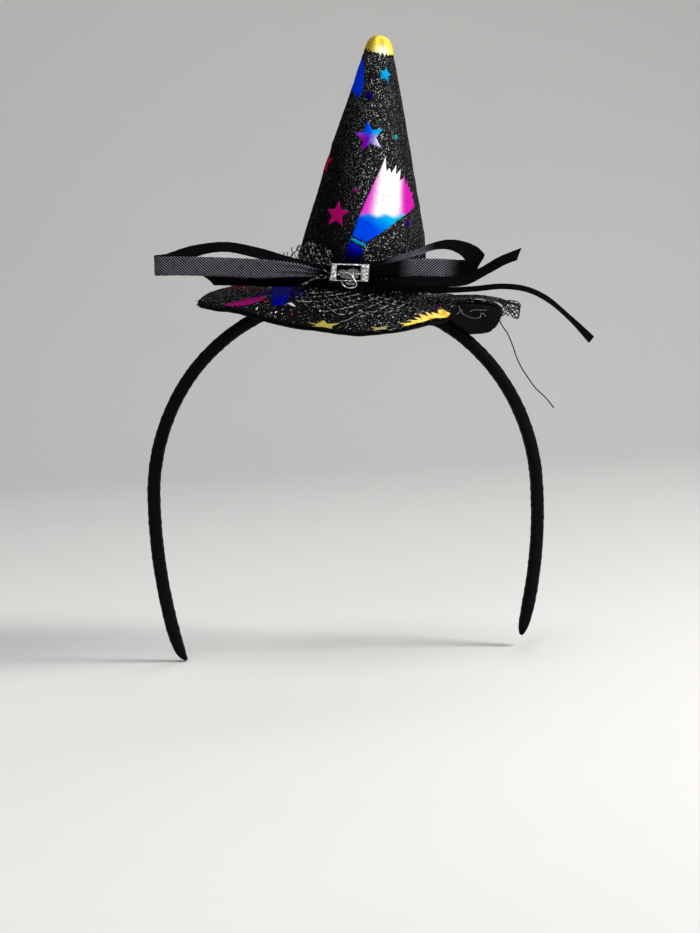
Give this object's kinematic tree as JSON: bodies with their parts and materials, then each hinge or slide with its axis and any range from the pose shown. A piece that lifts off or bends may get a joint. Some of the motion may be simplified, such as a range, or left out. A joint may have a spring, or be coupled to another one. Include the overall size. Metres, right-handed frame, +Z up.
{
  "type": "witch headband",
  "caption": "Small black witch hat with a drooping brim, ribbon bow, buckle and net veil, seated off-centre on an arched fabric-covered headband.",
  "frame": {"origin": "underside of the band at its highest point, where it rests on the hair", "axes": "+Z up as worn, +X to the right seen from the front, +Y to the back of the head, so the front faces -Y"},
  "size_m": [0.1887, 0.1296, 0.2571],
  "materials": {
    "band_satin": "black satin over a plastic core, soft sheen",
    "hat_cloth": "black felt-like cloth with fine glitter and foil print",
    "plain_felt": "plain black felt, matte",
    "ribbon": "black twill-weave satin ribbon",
    "net": "black nylon net, glossy strands",
    "buckle_metal": "bright silver with a sparkling cast face"
  },
  "bodies": {
    "root": {"band": "band_satin", "crown": "hat_cloth", "brim": "hat_cloth", "brim_lining": "plain_felt", "bow_knot": "ribbon", "buckle": "buckle_metal", "buckle_prong": "buckle_metal", "bow_left_loop": "ribbon", "bow_left_lower_loop": "ribbon", "bow_right_loop": "ribbon", "bow_tail_short": "ribbon", "bow_tail_long": "ribbon", "net_veil": "net", "net_tuft": "net"}
  },
  "joints": []
}
